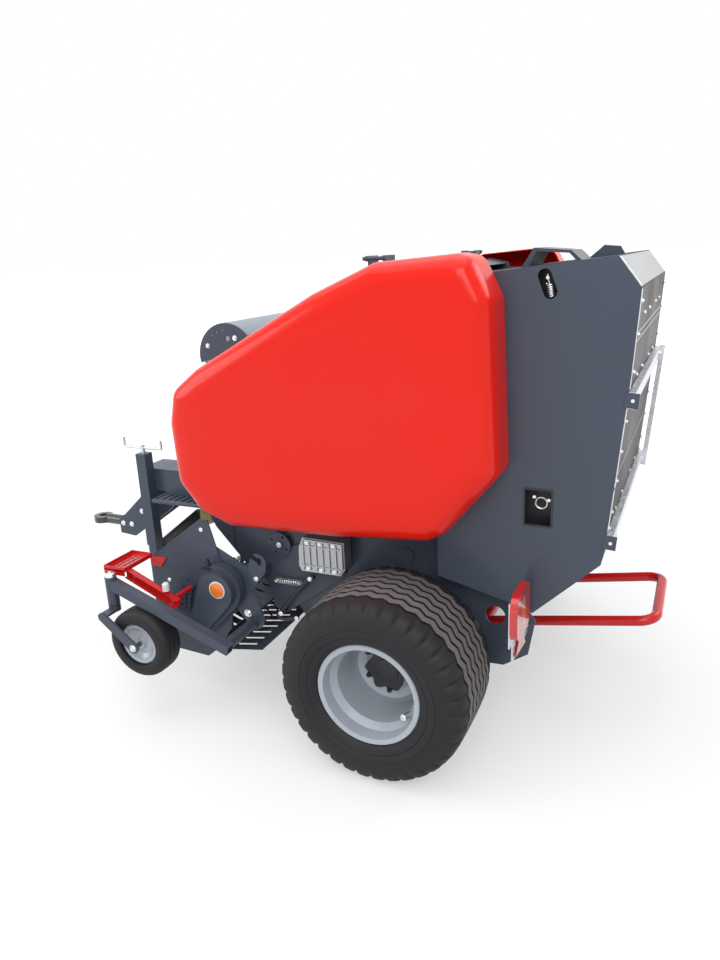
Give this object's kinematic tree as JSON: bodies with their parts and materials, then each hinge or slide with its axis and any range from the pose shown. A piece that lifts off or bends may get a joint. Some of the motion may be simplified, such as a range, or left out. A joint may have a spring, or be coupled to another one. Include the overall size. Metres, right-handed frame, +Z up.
{
  "type": "round baler",
  "caption": "Towed round baler with roller chamber, opening tailgate, red side covers, raised pick-up with gauge wheels, drawbar with jack and bale ramp.",
  "frame": {"origin": "on the ground under the middle of the machine's box", "axes": "+X towards the tractor, +Y to the machine's left, +Z up"},
  "size_m": [3.606, 2.29, 2.221],
  "materials": {
    "grey_paint": "satin slate-grey paint",
    "dark_paint": "gloss dark-grey paint",
    "red_cover": "gloss red moulded cover",
    "red_paint": "gloss red paint",
    "galvanised": "zinc-plated steel",
    "bare_steel": "ribbed steel roller",
    "chrome_rod": "polished ram rod",
    "rim_silver": "silver paint",
    "tyre_black": "black tyre",
    "cast_alu": "cast aluminium",
    "black_plastic": "black moulded guard",
    "lamp": "red and orange lamp lens",
    "net": "roll of pale net"
  },
  "bodies": {
    "chassis": {"chassis_walls": "grey_paint", "cross_members": "grey_paint", "axle_beam": "grey_paint", "drawbar": "grey_paint", "hitch_eye": "dark_paint", "jack_tube": "grey_paint", "jack_crank": "galvanised", "drawbar_step": "grey_paint", "gearbox": "grey_paint", "pto_cone": "black_plastic", "chamber_rollers": "bare_steel", "feed_floor": "dark_paint", "net_box": "grey_paint", "net_roll": "net", "top_sheet": "grey_paint", "chain_drive": "galvanised", "rotor_housing": "cast_alu", "lamp_brackets": "galvanised", "tail_lamps": "lamp"},
    "wheel_left": {"tyre_left": "tyre_black", "rim_left": "rim_silver"},
    "wheel_right": {"tyre_right": "tyre_black", "rim_right": "rim_silver"},
    "tailgate": {"gate_panels": "grey_paint", "gate_walls": "grey_paint", "gate_sheet": "dark_paint", "gate_bars": "galvanised", "gate_rollers": "bare_steel", "gate_top": "grey_paint"},
    "cover_left": {"cover_left": "red_cover"},
    "cover_right": {"cover_right": "red_cover"},
    "ram_barrel_left": {"ram_barrel_left": "dark_paint"},
    "ram_rod_left": {"ram_rod_left": "chrome_rod"},
    "ram_barrel_right": {"ram_barrel_right": "dark_paint"},
    "ram_rod_right": {"ram_rod_right": "chrome_rod"},
    "pickup": {"pickup_frame": "grey_paint", "pickup_bands": "grey_paint", "pickup_humps": "grey_paint", "gauge_arms": "grey_paint", "castor_sleeves": "grey_paint", "wheel_guards": "red_paint", "lift_spring": "galvanised"},
    "pickup_reel": {"pickup_reel": "dark_paint"},
    "feed_rotor": {"feed_rotor": "red_paint"},
    "castor_left": {"castor_left": "grey_paint"},
    "castor_right": {"castor_right": "grey_paint"},
    "gauge_wheel_left": {"gauge_wheel_left": "tyre_black", "gauge_rim_left": "rim_silver"},
    "gauge_wheel_right": {"gauge_wheel_right": "tyre_black", "gauge_rim_right": "rim_silver"},
    "jack_leg": {"jack_leg": "grey_paint"},
    "bale_ramp": {"bale_ramp": "red_paint"},
    "pto_shaft": {"pto_shaft": "black_plastic"},
    "net_lid": {"net_lid": "galvanised"}
  },
  "joints": [
    {"name": "wheel_left_spin", "type": "hinge", "parent": "chassis", "child": "wheel_left", "pos_m": [-0.699, 0.9, 0.433], "axis": [0, 1, 0], "continuous": true},
    {"name": "wheel_right_spin", "type": "hinge", "parent": "chassis", "child": "wheel_right", "pos_m": [-0.699, -0.9, 0.433], "axis": [0, 1, 0], "continuous": true},
    {"name": "tailgate_hinge", "type": "hinge", "parent": "chassis", "child": "tailgate", "pos_m": [-0.749, 0, 2.1], "axis": [0, 1, 0], "range_deg": [0, 65]},
    {"name": "cover_left_hinge", "type": "hinge", "parent": "chassis", "child": "cover_left", "pos_m": [-0.5, 0.714, 2.207], "axis": [1, 0, 0], "range_deg": [0, 75]},
    {"name": "cover_right_hinge", "type": "hinge", "parent": "chassis", "child": "cover_right", "pos_m": [-0.5, -0.714, 2.207], "axis": [-1, 0, 0], "range_deg": [0, 75]},
    {"name": "ram_barrel_left_pivot", "type": "hinge", "parent": "chassis", "child": "ram_barrel_left", "pos_m": [-0.28937, 0.66, 1.71433], "axis": [0, 1, 0], "range_deg": [-1, 33.5]},
    {"name": "ram_rod_left_slide", "type": "slide", "parent": "ram_barrel_left", "child": "ram_rod_left", "axis": [-0.9537, 0, -0.3007], "range_m": [-0.005, 0.4478]},
    {"name": "ram_barrel_right_pivot", "type": "hinge", "parent": "chassis", "child": "ram_barrel_right", "pos_m": [-0.28937, -0.66, 1.71433], "axis": [0, 1, 0], "range_deg": [-1, 33.5]},
    {"name": "ram_rod_right_slide", "type": "slide", "parent": "ram_barrel_right", "child": "ram_rod_right", "axis": [-0.9537, 0, -0.3007], "range_m": [-0.005, 0.4478]},
    {"name": "pickup_lift", "type": "hinge", "parent": "chassis", "child": "pickup", "pos_m": [-0.269, 0, 0.8], "axis": [0, 1, 0], "range_deg": [0, 13.5]},
    {"name": "pickup_reel_spin", "type": "hinge", "parent": "pickup", "child": "pickup_reel", "pos_m": [0.381, 0, 0.425], "axis": [0, 1, 0], "continuous": true},
    {"name": "feed_rotor_spin", "type": "hinge", "parent": "chassis", "child": "feed_rotor", "pos_m": [-0.269, 0, 0.8], "axis": [0, 1, 0], "continuous": true},
    {"name": "castor_left_swivel", "type": "hinge", "parent": "pickup", "child": "castor_left", "pos_m": [0.756, 1, 0.6], "axis": [0, 0, 1], "range_deg": [-25, 8]},
    {"name": "gauge_wheel_left_spin", "type": "hinge", "parent": "castor_left", "child": "gauge_wheel_left", "pos_m": [0.581, 1, 0.402], "axis": [0, 1, 0], "continuous": true},
    {"name": "castor_right_swivel", "type": "hinge", "parent": "pickup", "child": "castor_right", "pos_m": [0.756, -1, 0.6], "axis": [0, 0, 1], "range_deg": [-8, 25]},
    {"name": "gauge_wheel_right_spin", "type": "hinge", "parent": "castor_right", "child": "gauge_wheel_right", "pos_m": [0.581, -1, 0.402], "axis": [0, 1, 0], "continuous": true},
    {"name": "jack_slide", "type": "slide", "parent": "chassis", "child": "jack_leg", "axis": [0, 0, 1], "range_m": [0, 0.3]},
    {"name": "bale_ramp_hinge", "type": "hinge", "parent": "chassis", "child": "bale_ramp", "pos_m": [-0.979, 0, 0.42], "axis": [0, -1, 0], "range_deg": [0, 25], "stiffness_Nm_per_rad": 150, "springref_deg": -51.57},
    {"name": "pto_shaft_spin", "type": "hinge", "parent": "chassis", "child": "pto_shaft", "pos_m": [0.861, 0, 0.735], "axis": [0.7939, 0, -0.6081], "continuous": true},
    {"name": "net_lid_hinge", "type": "hinge", "parent": "chassis", "child": "net_lid", "pos_m": [0.043, 0, 1.852], "axis": [0, -1, 0], "range_deg": [0, 70]}
  ],
  "couplings": [
    {"joint": "ram_barrel_left_pivot", "follows": "tailgate_hinge", "ratio": 0.5},
    {"joint": "ram_rod_left_slide", "follows": "tailgate_hinge", "m_per_rad": 0.39033},
    {"joint": "ram_barrel_right_pivot", "follows": "tailgate_hinge", "ratio": 0.5},
    {"joint": "ram_rod_right_slide", "follows": "tailgate_hinge", "m_per_rad": 0.39033}
  ]
}
